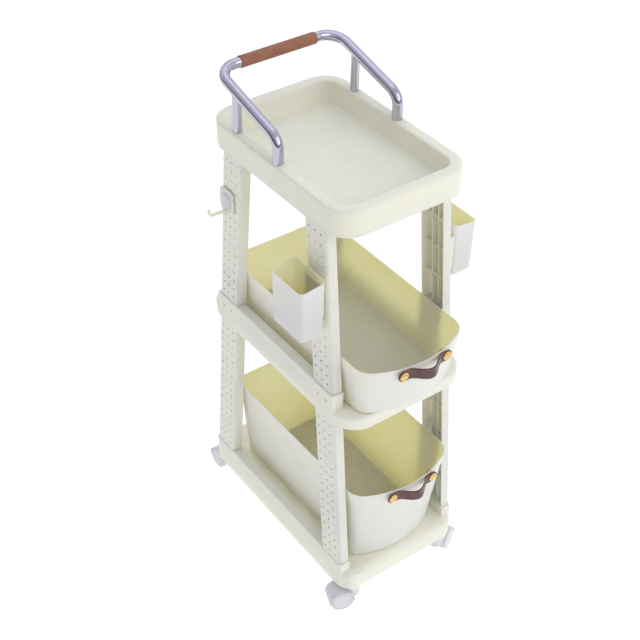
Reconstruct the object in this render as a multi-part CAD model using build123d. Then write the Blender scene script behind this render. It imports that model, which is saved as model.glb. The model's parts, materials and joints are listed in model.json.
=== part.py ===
"""Three-tier rolling pantry cart with pull-out bins, a push bar, hang-on cups and casters.

X runs across the cart, -Y is the front where the bins pull out, +Z is up.
The origin is on the floor under the middle of the cart. All sizes are in millimetres.
"""
from build123d import *
import math
import os

# Heights above the floor
BASE_Z = 55.0
BASE_FLOOR_Z = 95.0
BASE_RAIL_Z = 115.0
MIDDLE_Z = 450.0
MIDDLE_FLOOR_Z = 475.0
MIDDLE_RAIL_Z = 507.5
TRAY_Z = 821.0
TRAY_FLOOR_Z = 829.0
TRAY_RIM_Z = 869.0

# Plan sizes of the three moulded levels
BASE_SIZE = (264.0, 456.0)
BASE_CORNER = 30.0
MIDDLE_SIZE = (261.0, 440.0)
MIDDLE_CORNER = 50.0
TRAY_SIZE = (257.0, 375.0)
TRAY_CORNER = 46.0
TRAY_RIM = 21.0
TRAY_DRAFT = 8.0
TRAY_RIM_ROUND = 5.0
GROOVE_PITCH = 12.0
GROOVE_DEPTH = 0.6
GROOVE_WIDTH = 3.0
GROOVE_END_GAP = 4.0
GROOVE_FIRST_GAP = 12.0
WALL = 2.8
SKIRT_STEP = 0.8
SKIRT_STEP_Z = 6.0
BASE_NOSE = 13.0
MIDDLE_NOSE = 5.0
BASE_RAIL_INNER = 110.0
MIDDLE_RAIL_INNER = 111.5
MIDDLE_BLOCK_INNER = 108.6
BASE_RAIL_END = 210.0
MIDDLE_RAIL_END = 176.0
SOCKET_LENGTH = 65.0
STIFFENER = 2.0
STIFFENER_COUNT = 5
STIFFENER_LIFT = 8.0
BASE_STIFFENER_PITCH = 90.0
MIDDLE_STIFFENER_PITCH = 80.0

# Posts: channels that lean towards the middle of the cart as they rise
POST_WIDTH = 57.0
POST_DEPTH = 19.5
POST_WALL = 2.4
POST_CORNER = 7.0
POST_LEAN_Y = 0.089
POST_LEAN_X = 0.007
POST_OUTER_Y = 216.9
POST_OUTER_X = 131.7
POST_END = 3.0
HOLE_RADIUS = 2.5
HOLE_PITCH_Y = 15.5
HOLE_PITCH_Z = 19.0
UPPER_FIRST_HOLE_Z = 523.0
UPPER_HOLE_ROWS = 16
LOWER_FIRST_HOLE_Z = 130.0
LOWER_HOLE_ROWS = 17
RIB_THICKNESS = 1.8
RIB_DEPTH = 12.0
RIB_EVERY = 3
TENON = (12.0, 44.0, 15.0)
TENON_GAP = 0.15
SNAP_WINDOW = (7.0, 4.0)
SNAP_SPREAD = 22.0
SNAP_RISE = 12.0

# Push bar
TUBE_RADIUS = 9.0
TUBE_WALL = 1.2
HANDLE_X = 117.3
HANDLE_FOOT_Y = -8.0
HANDLE_REAR_Y = 163.5
HANDLE_KNEE_Z = 910.5
HANDLE_BACK_Z = 954.0
KNEE_BEND = 26.0
BACK_BEND = 34.0
STRUT_RADIUS = 7.6
STRUT_Y = 107.0
FOOT_DEPTH = 22.0
SOCKET_WALL = 1.9
PLUG_LENGTH = 10.0
SCREW_RADIUS = 2.4
SCREW_HEAD = 4.5
SCREW_SEAT = 5.0
SCREW_HEAD_HEIGHT = 3.0
GRIP_HALF = 74.0
GRIP_RADIUS = 10.4
GRIP_GAP = 0.05
GRIP_ROUND = 1.2

# Bins
BIN_HALF = 107.0
BIN_BACK_Y = 170.0
BIN_BACK_CORNER = 22.0
BIN_FRONT_CORNER = 35.0
BIN_BOW = 185.0
BIN_WALL = 2.2
BIN_DRAFT = 4.4
BIN_BAND = 26.0
BIN_BAND_OUT = 1.2
BIN_LIFT = 0.4
UPPER_BIN_RIM_Z = 578.0
UPPER_BIN_FRONT_Y = -252.0
LOWER_BIN_RIM_Z = 285.5
LOWER_BIN_FRONT_Y = -244.5

# Leather pulls
RIVET_X = 45.0
RIVET_DROP = 12.0
RIVET_HEAD_RADIUS = 8.5
RIVET_HEAD = 3.2
RIVET_DOME = 2.2
RIVET_REACH = 11.0
RIVET_SHANK = 2.5
NUT_RADIUS = 6.0
NUT_THICKNESS = 2.4
NUT_SETBACK = 5.6
STRAP_WIDTH = 20.0
STRAP_THICKNESS = 2.8
STRAP_BOW = 20.0
STRAP_STANDOFF = 3.7

# Hang-on cups and hook
CUP_SIZE = (50.0, 85.0, 105.0)
CUP_SLANT = 6.0
CUP_CORNER = 10.0
CUP_DRAFT = 1.6
CUP_WALL = 1.8
CUP_FACE_X = 134.0
LEFT_CUP_Y = 119.0
LEFT_CUP_RIM_Z = 740.0
LEFT_CUP_ROWS = (8, 10)
RIGHT_CUP_Y = 108.0
RIGHT_CUP_RIM_Z = 727.0
RIGHT_CUP_ROWS = (7, 9)
HANGER = (5.9, 42.0, 62.0)
HANGER_FACE_X = 128.1
HANGER_SINK = 3.0
PEG_RADIUS = 2.42
PEG_LENGTH = 7.0
HOOK_PLATE = (2.6, 41.0, 45.0)
HOOK_PAD = (2.6, 24.0, 34.0)
HOOK_CORNER = 9.0
HOOK_ROW = 11
HOOK_PLATE_Z = 727.5
HOOK_PAD_Z = 722.5
HOOK_WIRE = 3.0
HOOK_ROOT_Z = 708.5
HOOK_LOW = (157.0, 710.5)
HOOK_TIP = (165.5, 723.0)
HOOK_BEND = 6.0

# Casters
CASTER_X = 102.0
CASTER_Y = 210.0
CASTER_TRAIL = 24.0
CASTER_TURNS = {"front_left": 160.0, "front_right": 26.0, "rear_left": 92.0, "rear_right": 75.0}
STEM_RADIUS = 4.0
STEM_TOP_Z = 86.0
STEM_FOOT_Z = 35.0
FLANGE_RADIUS = 7.0
FLANGE_Z = 46.2
COLLAR_RADIUS = 17.0
COLLAR_Z = 48.0
WHEEL_RADIUS = 21.5
WHEEL_WIDTH = 15.2
WHEEL_INNER = 3.6
WHEEL_ROUND = 1.4
WHEEL_RING = (18.6, 18.0, 0.6)
HOOD_RADIUS = 24.0
HOOD_GAP = 0.9
HOOD_HALF = 19.0
HOOD_WEB = 3.1
HOOD_CUT_Z = 18.0
HOOD_TOP_Z = 45.8
HOOD_ROUND = 1.0
NECK_RADIUS = 14.0
NECK_FOOT_Z = 27.0
AXLE_RADIUS = 3.0
AXLE_HALF = 16.6
RUNNING_GAP = 0.05

CORNERS = {
    "front_left": (-1, -1),
    "front_right": (1, -1),
    "rear_left": (-1, 1),
    "rear_right": (1, 1),
}


def save(shape, name):
    """Write one named node as a STEP file."""
    export_step(shape, f"parts/{name}.step")


def upright(sketch, low, height):
    """Extrude a plan outline upwards from a height."""
    return Pos(0, 0, low) * extrude(sketch, height)


def slab(x_low, x_high, y_low, y_high, z_low, z_high):
    """A box between two corners."""
    centre = ((x_low + x_high) / 2, (y_low + y_high) / 2, (z_low + z_high) / 2)
    return Pos(*centre) * Box(x_high - x_low, y_high - y_low, z_high - z_low)


def cylinder_x(x_low, x_high, y, z, radius):
    """A cylinder that lies along X."""
    turned = Pos((x_low + x_high) / 2, y, z) * Rot(0, 90, 0)
    return turned * Cylinder(radius, abs(x_high - x_low))


def cylinder_y(x, y_low, y_high, z, radius):
    """A cylinder that lies along Y."""
    turned = Pos(x, (y_low + y_high) / 2, z) * Rot(90, 0, 0)
    return turned * Cylinder(radius, abs(y_high - y_low))


def cylinder_z(x, y, z_low, z_high, radius):
    """A cylinder that stands along Z."""
    return Pos(x, y, (z_low + z_high) / 2) * Cylinder(radius, z_high - z_low)


def to_corner(shape, side, end):
    """Carry a shape made for the front right corner to another corner."""
    moved = shape
    if side < 0:
        moved = mirror(moved, about=Plane.YZ)
    if end > 0:
        moved = mirror(moved, about=Plane.XZ)
    return moved


# ---------------------------------------------------------------- posts


def post_face_x(z):
    """Distance from the middle plane to a post's outer panel at a height."""
    return POST_OUTER_X - POST_LEAN_X * z


def post_centre_y(z):
    """Distance from the cross plane to the middle of a post at a height."""
    return POST_OUTER_Y - POST_WIDTH / 2 - POST_LEAN_Y * z


def hole_rows(first, count):
    """Heights of the rows of peg holes."""
    return [first + HOLE_PITCH_Z * row for row in range(count)]


def leaning(sketch, low, high):
    """Extrude a plan outline along the lean of the front right post."""
    lean = Vector(-POST_LEAN_X, POST_LEAN_Y, 1)
    length = (high - low) * lean.length
    return extrude(sketch, length, dir=lean)


def plan_rectangle(x_low, x_high, y_middle, width, z):
    """A rectangle in the horizontal plane at a height."""
    return Pos((x_low + x_high) / 2, y_middle, z) * Rectangle(x_high - x_low, width)


def post_shell(low, high):
    """The channel: a panel outside, a flange on each side and a plate at each end."""
    outer_x = post_face_x(low)
    inner_x = outer_x - POST_DEPTH
    middle = -post_centre_y(low)
    outer = leaning(plan_rectangle(inner_x, outer_x, middle, POST_WIDTH, low), low, high)
    long_edges = outer.edges().filter_by(lambda edge: edge.length > (high - low) * 0.9)
    outer = fillet(long_edges.sort_by(Axis.X)[-2:], POST_CORNER)
    start = low + POST_END
    shift_x = POST_LEAN_X * POST_END
    shift_y = POST_LEAN_Y * POST_END
    hollow = plan_rectangle(
        inner_x - shift_x - 1,
        outer_x - shift_x - POST_WALL,
        middle + shift_y,
        POST_WIDTH - 2 * POST_WALL,
        start,
    )
    return outer - leaning(hollow, start, high - POST_END)


def post_ribs(low, high, rows):
    """Two long ribs between the columns of holes, and short cross ribs between rows."""
    ribs = []
    middle = -post_centre_y(low)
    panel = post_face_x(low) - POST_WALL / 2
    for side in (-1, 1):
        long_rib = plan_rectangle(
            panel - RIB_DEPTH, panel, middle + side * HOLE_PITCH_Y / 2, RIB_THICKNESS, low
        )
        ribs.append(leaning(long_rib, low + POST_END / 2, high - POST_END / 2))
    for z in rows[RIB_EVERY - 1 : -1 : RIB_EVERY]:
        rib_z = z + HOLE_PITCH_Z / 2
        face = post_face_x(rib_z) - POST_WALL / 2
        width = POST_WIDTH - POST_WALL
        cross = plan_rectangle(face - RIB_DEPTH, face, -post_centre_y(rib_z), width, rib_z)
        ribs.append(leaning(cross, rib_z, rib_z + RIB_THICKNESS))
    return ribs


def tenon(z, direction, gap):
    """The tongue at a post's end, or with a gap its pocket."""
    middle_x = post_face_x(z) - POST_DEPTH / 2
    size_x = TENON[0] + 2 * gap
    size_y = TENON[1] + 2 * gap
    length = TENON[2] + 2 * gap
    tongue = Pos(middle_x, -post_centre_y(z), z + direction * length / 2)
    return tongue * Box(size_x, size_y, length)


def post_holes(rows):
    """Three peg holes through the panel at each row."""
    holes = []
    for z in rows:
        for column in (-1, 0, 1):
            y = -post_centre_y(z) + column * HOLE_PITCH_Y
            face = post_face_x(z)
            holes.append(cylinder_x(face - POST_WALL - 1, face + 1, y, z, HOLE_RADIUS))
    return holes


def make_post(low, high, rows):
    """One post for the front right corner, with its tongues and holes."""
    post = post_shell(low, high)
    post += post_ribs(low, high, rows)
    post += tenon(low, -1, 0)
    post += tenon(high, 1, 0)
    return post - post_holes(rows)


def make_posts():
    """Four lower and four upper posts."""
    lower_rows = hole_rows(LOWER_FIRST_HOLE_Z, LOWER_HOLE_ROWS)
    upper_rows = hole_rows(UPPER_FIRST_HOLE_Z, UPPER_HOLE_ROWS)
    lower = make_post(BASE_RAIL_Z, MIDDLE_Z, lower_rows)
    upper = make_post(MIDDLE_RAIL_Z, TRAY_Z, upper_rows)
    for corner, (side, end) in CORNERS.items():
        save(to_corner(lower, side, end), f"lower_post_{corner}")
        save(to_corner(upper, side, end), f"upper_post_{corner}")


# ---------------------------------------------------------------- shelves


def level_outline(size, corner, inset=0.0):
    """The rounded plan outline of a level, set in by a distance."""
    return RectangleRounded(size[0] - 2 * inset, size[1] - 2 * inset, corner - inset)


def skirted_block(size, corner, low, high, nose):
    """A rounded block with a soft top edge and a shadow step above its lower edge."""
    lower_band = upright(level_outline(size, corner, SKIRT_STEP), low, SKIRT_STEP_Z)
    upper = upright(level_outline(size, corner), low + SKIRT_STEP_Z, high - low - SKIRT_STEP_Z)
    upper = fillet(upper.edges().group_by(Axis.Z)[-1], nose)
    return upper + lower_band


def side_rails(size, corner, low, high, inner, end):
    """The raised rail along each side, cut from the level's own outline."""
    whole = upright(level_outline(size, corner, SKIRT_STEP / 2), low, high - low)
    half = size[0] / 2
    rails = []
    for side in (-1, 1):
        x_low, x_high = sorted((side * inner, side * (half + 1)))
        rails.append(whole & slab(x_low, x_high, -end, end, low, high))
    return rails


def rail_hollows(size, low, high, inner, end):
    """The space under each side rail between the post pockets."""
    hollows = []
    outer = size[0] / 2 - WALL - SKIRT_STEP
    for side in (-1, 1):
        x_low, x_high = sorted((side * (inner + WALL), side * outer))
        hollows.append(slab(x_low, x_high, -end, end, low - 1, high - WALL))
    return hollows


def shelf_sockets(z_low, z_high, inner, end):
    """Solid blocks that take the posts' tongues at the four corners."""
    blocks = []
    outer = post_face_x(z_low) - WALL / 2
    for side, way in CORNERS.values():
        x_low, x_high = sorted((side * inner, side * outer))
        y_low, y_high = sorted((way * end, way * (end - SOCKET_LENGTH)))
        blocks.append(slab(x_low, x_high, y_low, y_high, z_low, z_high))
    return blocks


def stiffeners(size, skirt_z, floor_z, pitch):
    """Cross ribs under a floor."""
    ribs = []
    half = size[0] / 2 - WALL
    low = skirt_z + STIFFENER_LIFT
    high = floor_z - WALL / 2
    for index in range(STIFFENER_COUNT):
        y = (index - (STIFFENER_COUNT - 1) / 2) * pitch
        ribs.append(slab(-half, half, y, y + STIFFENER, low, high))
    return ribs


def snap_windows(z):
    """Slots in the skirt where each post's snaps show."""
    slots = []
    for side, way in CORNERS.values():
        for shift in (-0.5, 0.5):
            y = way * post_centre_y(z) + shift * SNAP_SPREAD
            x = side * MIDDLE_SIZE[0] / 2
            slots.append(Pos(x, y, z) * Box(2 * WALL, SNAP_WINDOW[0], SNAP_WINDOW[1]))
    return slots


def make_base_shelf():
    """Bottom shelf with side rails, post pockets and caster sockets."""
    shelf = skirted_block(BASE_SIZE, BASE_CORNER, BASE_Z, BASE_FLOOR_Z, BASE_NOSE)
    shelf -= upright(
        level_outline(BASE_SIZE, BASE_CORNER, WALL + SKIRT_STEP),
        BASE_Z,
        BASE_FLOOR_Z - BASE_Z - BASE_NOSE,
    )
    inner_span = BASE_SIZE[0] / 2 - BASE_NOSE
    inner_end = BASE_SIZE[1] / 2 - BASE_NOSE
    shelf -= slab(-inner_span, inner_span, -inner_end, inner_end, BASE_Z, BASE_FLOOR_Z - WALL)
    shelf += side_rails(
        BASE_SIZE, BASE_CORNER, BASE_FLOOR_Z - BASE_NOSE - WALL, BASE_RAIL_Z,
        BASE_RAIL_INNER, BASE_RAIL_END,
    )
    shelf -= rail_hollows(
        BASE_SIZE, BASE_Z, BASE_RAIL_Z, BASE_RAIL_INNER, BASE_RAIL_END - SOCKET_LENGTH
    )
    shelf += stiffeners(BASE_SIZE, BASE_Z, BASE_FLOOR_Z, BASE_STIFFENER_PITCH)
    for side, way in CORNERS.values():
        x = side * CASTER_X
        y = way * CASTER_Y
        shelf += cylinder_z(x, y, COLLAR_Z, BASE_FLOOR_Z - WALL, COLLAR_RADIUS)
    for side, way in CORNERS.values():
        x = side * CASTER_X
        y = way * CASTER_Y
        shelf -= cylinder_z(x, y, COLLAR_Z - 1, STEM_TOP_Z, STEM_RADIUS)
        shelf -= to_corner(tenon(BASE_RAIL_Z, -1, TENON_GAP), side, way)
    return shelf


def make_middle_shelf():
    """Middle shelf with side rails and post pockets from above and below."""
    shelf = skirted_block(MIDDLE_SIZE, MIDDLE_CORNER, MIDDLE_Z, MIDDLE_FLOOR_Z, MIDDLE_NOSE)
    shelf -= upright(
        level_outline(MIDDLE_SIZE, MIDDLE_CORNER, WALL + SKIRT_STEP),
        MIDDLE_Z,
        MIDDLE_FLOOR_Z - MIDDLE_Z - WALL,
    )
    shelf += side_rails(
        MIDDLE_SIZE, MIDDLE_CORNER, MIDDLE_FLOOR_Z - MIDDLE_NOSE - WALL, MIDDLE_RAIL_Z,
        MIDDLE_RAIL_INNER, MIDDLE_RAIL_END,
    )
    shelf -= rail_hollows(
        MIDDLE_SIZE, MIDDLE_Z, MIDDLE_RAIL_Z, MIDDLE_RAIL_INNER, MIDDLE_RAIL_END - SOCKET_LENGTH
    )
    shelf += shelf_sockets(MIDDLE_Z, MIDDLE_RAIL_Z, MIDDLE_BLOCK_INNER, MIDDLE_RAIL_END)
    shelf += stiffeners(MIDDLE_SIZE, MIDDLE_Z, MIDDLE_FLOOR_Z, MIDDLE_STIFFENER_PITCH)
    for side, way in CORNERS.values():
        shelf -= to_corner(tenon(MIDDLE_Z, 1, TENON_GAP), side, way)
        shelf -= to_corner(tenon(MIDDLE_RAIL_Z, -1, TENON_GAP), side, way)
    return shelf - snap_windows(MIDDLE_FLOOR_Z + SNAP_RISE)


def handle_feet():
    """Plan position and radius of each place where the push bar enters the tray's rim."""
    feet = []
    for side in (-1, 1):
        feet.append((side * HANDLE_X, HANDLE_FOOT_Y, TUBE_RADIUS))
        feet.append((side * HANDLE_X, STRUT_Y, STRUT_RADIUS))
    return feet


def screw_seat_z():
    """Height of the face that the screws' heads press on."""
    return TRAY_RIM_Z - FOOT_DEPTH - SCREW_SEAT


def screw_places():
    """Plan positions of the screws that hold the push bar's front feet."""
    return [(side * HANDLE_X, HANDLE_FOOT_Y) for side in (-1, 1)]


def make_top_tray():
    """Top tray: rounded hollow rim, drafted inner walls and a grooved floor."""
    tray = skirted_block(TRAY_SIZE, TRAY_CORNER, TRAY_Z, TRAY_RIM_Z, TRAY_RIM_ROUND)
    recess_corner = TRAY_CORNER - TRAY_RIM
    recess_depth = TRAY_RIM_Z - TRAY_FLOOR_Z
    recess_top = RectangleRounded(
        TRAY_SIZE[0] - 2 * TRAY_RIM, TRAY_SIZE[1] - 2 * TRAY_RIM, recess_corner
    )
    draft = math.degrees(math.atan(TRAY_DRAFT / recess_depth))
    recess = Pos(0, 0, TRAY_RIM_Z) * extrude(recess_top, -recess_depth, taper=draft)
    tray -= recess
    tray -= rim_hollow(draft, recess_depth)
    tray += tray_sockets()
    for side, way in CORNERS.values():
        tray -= to_corner(tenon(TRAY_Z, 1, TENON_GAP), side, way)
    for x, y, radius in handle_feet():
        bottom = TRAY_RIM_Z - FOOT_DEPTH
        tray -= cylinder_z(x, y, bottom, TRAY_RIM_Z + 1, radius + RUNNING_GAP)
    for x, y in screw_places():
        tray -= cylinder_z(x, y, TRAY_Z - 1, TRAY_RIM_Z, SCREW_RADIUS + RUNNING_GAP)
        tray -= cylinder_z(x, y, TRAY_Z - 1, screw_seat_z(), SCREW_HEAD + RUNNING_GAP)
    return tray - floor_grooves()


def rim_hollow(draft, recess_depth):
    """The space inside the rim, open below, between the skirt and the inner wall."""
    hollow_height = TRAY_RIM_Z - WALL - TRAY_Z
    outside = upright(level_outline(TRAY_SIZE, TRAY_CORNER, WALL + SKIRT_STEP), TRAY_Z, hollow_height)
    inner_top = RectangleRounded(
        TRAY_SIZE[0] - 2 * TRAY_RIM + 2 * WALL,
        TRAY_SIZE[1] - 2 * TRAY_RIM + 2 * WALL,
        TRAY_CORNER - TRAY_RIM + WALL,
    )
    inside = Pos(0, 0, TRAY_RIM_Z) * extrude(inner_top, -recess_depth - WALL, taper=draft)
    return outside - inside


def tray_sockets():
    """Blocks inside the rim for the posts' tongues, and bosses for the push bar."""
    blocks = []
    outer = TRAY_SIZE[0] / 2 - WALL
    inner = outer - POST_DEPTH + WALL
    top = TRAY_RIM_Z - WALL / 2
    for side, way in CORNERS.values():
        x_low, x_high = sorted((side * inner, side * outer))
        middle = way * post_centre_y(TRAY_Z)
        half = TENON[1] / 2 + WALL
        blocks.append(slab(x_low, x_high, middle - half, middle + half, TRAY_Z + 1, top))
    for x, y, radius in handle_feet():
        blocks.append(cylinder_z(x, y, TRAY_Z + 1, top, radius + SOCKET_WALL))
    return blocks


def floor_grooves():
    """Shallow straight grooves across the tray's floor."""
    grooves = []
    half = TRAY_SIZE[0] / 2 - TRAY_RIM - TRAY_DRAFT - GROOVE_END_GAP
    reach = TRAY_SIZE[1] / 2 - TRAY_RIM - TRAY_DRAFT - GROOVE_FIRST_GAP
    count = int(2 * reach / GROOVE_PITCH) + 1
    for index in range(count):
        y = (index - (count - 1) / 2) * GROOVE_PITCH
        low = TRAY_FLOOR_Z - GROOVE_DEPTH
        grooves.append(slab(-half, half, y, y + GROOVE_WIDTH, low, TRAY_FLOOR_Z + 1))
    return grooves


# ---------------------------------------------------------------- push bar


def handle_path():
    """Centre line of the push bar, foot to foot, with a radius at each corner."""
    foot = TRAY_RIM_Z - FOOT_DEPTH
    points = [
        (-HANDLE_X, HANDLE_FOOT_Y, foot),
        (-HANDLE_X, HANDLE_FOOT_Y, HANDLE_KNEE_Z),
        (-HANDLE_X, HANDLE_REAR_Y, HANDLE_BACK_Z),
        (HANDLE_X, HANDLE_REAR_Y, HANDLE_BACK_Z),
        (HANDLE_X, HANDLE_FOOT_Y, HANDLE_KNEE_Z),
        (HANDLE_X, HANDLE_FOOT_Y, foot),
    ]
    return FilletPolyline(*points, radius=[KNEE_BEND, BACK_BEND, BACK_BEND, KNEE_BEND])


def swept_rod(path, radius):
    """A round bar of a radius along a path that starts straight up."""
    section = Plane(path @ 0, z_dir=path % 0) * Circle(radius)
    return sweep(section, path=path)


def make_handle_tube():
    """The bent tube with a drilled plug in each foot."""
    path = handle_path()
    tube = swept_rod(path, TUBE_RADIUS) - swept_rod(path, TUBE_RADIUS - TUBE_WALL)
    foot = TRAY_RIM_Z - FOOT_DEPTH
    for side in (-1, 1):
        x = side * HANDLE_X
        plug = cylinder_z(x, HANDLE_FOOT_Y, foot, foot + PLUG_LENGTH, TUBE_RADIUS - TUBE_WALL / 2)
        hole = cylinder_z(x, HANDLE_FOOT_Y, foot - 1, foot + PLUG_LENGTH + 1, SCREW_RADIUS)
        tube = tube + plug - hole
    return tube


def make_strut(side, bar):
    """A rear strut, cut to saddle the underside of the bent tube."""
    foot = TRAY_RIM_Z - FOOT_DEPTH
    x = side * HANDLE_X
    rise = (HANDLE_BACK_Z - HANDLE_KNEE_Z) / (HANDLE_REAR_Y - HANDLE_FOOT_Y)
    top = HANDLE_KNEE_Z + rise * (STRUT_Y - HANDLE_FOOT_Y)
    strut = cylinder_z(x, STRUT_Y, foot, top, STRUT_RADIUS) - bar
    strut = strut.solids().sort_by(Axis.Z)[0]
    bore_top = top - 2 * TUBE_RADIUS
    return strut - cylinder_z(x, STRUT_Y, foot - 1, bore_top, STRUT_RADIUS - TUBE_WALL)


def make_handle_grip():
    """The leather sleeve round the cross bar."""
    sleeve = cylinder_x(-GRIP_HALF, GRIP_HALF, HANDLE_REAR_Y, HANDLE_BACK_Z, GRIP_RADIUS)
    sleeve = fillet(sleeve.edges().filter_by(GeomType.CIRCLE), GRIP_ROUND)
    bore = cylinder_x(
        -GRIP_HALF - 1, GRIP_HALF + 1, HANDLE_REAR_Y, HANDLE_BACK_Z, TUBE_RADIUS + GRIP_GAP
    )
    return sleeve - bore


def make_handle_screws():
    """One screw up into each front foot of the push bar."""
    screws = []
    seat = screw_seat_z()
    top = TRAY_RIM_Z - FOOT_DEPTH + PLUG_LENGTH - 1
    for x, y in screw_places():
        shank = cylinder_z(x, y, seat - 1, top, SCREW_RADIUS - RUNNING_GAP)
        head = cylinder_z(x, y, seat - SCREW_HEAD_HEIGHT, seat, SCREW_HEAD)
        screws.append(shank + head)
    return Compound(screws)


def make_handle():
    """All the pieces of the push bar."""
    save(make_handle_tube(), "handle_tube")
    bar = swept_rod(handle_path(), TUBE_RADIUS)
    save(make_strut(-1, bar), "handle_strut_left")
    save(make_strut(1, bar), "handle_strut_right")
    save(make_handle_grip(), "handle_grip")
    save(make_handle_screws(), "handle_screws")


# ---------------------------------------------------------------- bins


def bin_outline(front_y, inset=0.0):
    """Plan outline of a bin at its rim: straight back and sides and a bowed front."""
    half = BIN_HALF - inset
    back = BIN_BACK_Y - inset
    bow = BIN_BOW - inset
    bow_centre = front_y + BIN_BOW
    corner = BIN_FRONT_CORNER - inset
    corner_x = half - corner
    corner_y = bow_centre - math.sqrt((bow - corner) ** 2 - corner_x**2)
    lean = math.atan2(corner_x, corner_y - bow_centre)
    touch = (bow * math.sin(lean), bow_centre + bow * math.cos(lean))
    front = (0.0, front_y + inset)
    rear = BIN_BACK_CORNER - inset
    sweep_half = (lean + math.pi / 2) / 2
    corner_mid = (
        corner_x + corner * math.sin(sweep_half),
        corner_y + corner * math.cos(sweep_half),
    )
    right_front = ThreePointArc(front, _between(front, touch, bow_centre, bow), touch)
    right_corner = ThreePointArc(touch, corner_mid, (half, corner_y))
    right_side = Line((half, corner_y), (half, back - rear))
    rear_mid = (half - rear + rear * math.sqrt(0.5), back - rear + rear * math.sqrt(0.5))
    rear_corner = ThreePointArc((half, back - rear), rear_mid, (half - rear, back))
    rear_line = Line((half - rear, back), (0, back))
    right = right_front + right_corner + right_side + rear_corner + rear_line
    left = mirror(right, about=Plane.YZ)
    return make_face(right + left)


def _between(start, finish, centre_y, radius):
    """The point half way along an arc whose centre is on the middle plane."""
    first = math.atan2(start[0], start[1] - centre_y)
    last = math.atan2(finish[0], finish[1] - centre_y)
    if first < last:
        first += 2 * math.pi
    middle = (first + last) / 2
    return (radius * math.sin(middle), centre_y + radius * math.cos(middle))


def drafted_bin(front_y, inset, rim_z, bottom_z):
    """A solid that narrows downwards from an outline at the rim."""
    outline = Pos(0, 0, rim_z) * bin_outline(front_y, inset)
    return extrude(outline, -(rim_z - bottom_z), taper=BIN_DRAFT)


def make_bin(front_y, rim_z, floor_z):
    """A thin-walled bin with a proud band round its rim and holes for its pull."""
    bottom = floor_z + BIN_LIFT
    band_z = rim_z - BIN_BAND
    inner = BIN_BAND_OUT
    shell = drafted_bin(front_y, inner, rim_z, bottom)
    shell += drafted_bin(front_y, 0.0, rim_z, band_z)
    shell -= drafted_bin(front_y, inner + BIN_WALL, rim_z, bottom + BIN_WALL)
    shell -= drafted_bin(front_y, BIN_WALL, rim_z, band_z + BIN_WALL)
    return shell - rivet_holes(front_y, rim_z)


def rivet_y(front_y):
    """Where a bin's front face stands at the rivets."""
    centre = front_y + BIN_BOW
    return centre - math.sqrt(BIN_BOW**2 - RIVET_X**2) + RIVET_DROP * math.tan(math.radians(BIN_DRAFT))


def rivet_holes(front_y, rim_z):
    """Two holes through the bin's front for the rivets."""
    y = rivet_y(front_y)
    z = rim_z - RIVET_DROP
    reach = RIVET_REACH + 1
    return [cylinder_y(side * RIVET_X, y - reach, y + reach, z, RIVET_SHANK) for side in (-1, 1)]


def strap_line(y):
    """One long edge of the pull in plan: flat at both rivets and bowed between them."""
    tip = RIVET_X + STRAP_WIDTH / 2
    flat = RIVET_X - STRAP_WIDTH / 2
    bow = Spline((-flat, y), (0, y - STRAP_BOW), (flat, y), tangents=((1, 0), (1, 0)))
    return Line((-tip, y), (-flat, y)) + bow + Line((flat, y), (tip, y))


def make_strap(front_y, rim_z):
    """A flat leather pull that stands off the bin between its rivets."""
    y = rivet_y(front_y) - STRAP_STANDOFF
    z = rim_z - RIVET_DROP
    back = y - STRAP_THICKNESS
    tip = RIVET_X + STRAP_WIDTH / 2
    ends = Line((-tip, y), (-tip, back)) + Line((tip, y), (tip, back))
    band = make_face(strap_line(y) + strap_line(back) + ends)
    strap = Pos(0, 0, z - STRAP_WIDTH / 2) * extrude(band, STRAP_WIDTH)
    for side in (-1, 1):
        strap -= cylinder_y(side * RIVET_X, back - 1, y + 1, z, RIVET_SHANK)
    return strap


def make_rivets(front_y, rim_z):
    """Two domed rivets whose shanks pass the strap and the bin's wall."""
    y = rivet_y(front_y) - STRAP_STANDOFF
    z = rim_z - RIVET_DROP
    rivets = []
    for side in (-1, 1):
        x = side * RIVET_X
        top = y - STRAP_THICKNESS
        head = cylinder_y(x, top - RIVET_HEAD, top, z, RIVET_HEAD_RADIUS)
        rim = head.edges().filter_by(GeomType.CIRCLE).sort_by(Axis.Y)[0]
        head = fillet(rim, RIVET_DOME)
        shank = cylinder_y(x, top - 1, y + RIVET_REACH, z, RIVET_SHANK - RUNNING_GAP)
        rivets.append(head + shank)
    return Compound(rivets)


def make_rivet_nuts(front_y, rim_z):
    """The nuts inside the bin that hold the rivets."""
    y = rivet_y(front_y) + NUT_SETBACK
    z = rim_z - RIVET_DROP
    nuts = []
    for side in (-1, 1):
        x = side * RIVET_X
        nut = cylinder_y(x, y, y + NUT_THICKNESS, z, NUT_RADIUS)
        nuts.append(nut - cylinder_y(x, y - 1, y + NUT_THICKNESS + 1, z, RIVET_SHANK - RUNNING_GAP))
    return Compound(nuts)


def make_bins():
    """Both bins with their pulls."""
    bins = {
        "upper": (UPPER_BIN_FRONT_Y, UPPER_BIN_RIM_Z, MIDDLE_FLOOR_Z),
        "lower": (LOWER_BIN_FRONT_Y, LOWER_BIN_RIM_Z, BASE_FLOOR_Z),
    }
    for name, (front_y, rim_z, floor_z) in bins.items():
        save(make_bin(front_y, rim_z, floor_z), f"{name}_bin")
        save(make_strap(front_y, rim_z), f"{name}_strap")
        save(make_rivets(front_y, rim_z), f"{name}_rivets")
        save(make_rivet_nuts(front_y, rim_z), f"{name}_rivet_nuts")


# ---------------------------------------------------------------- hang-on cups and hook


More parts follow.
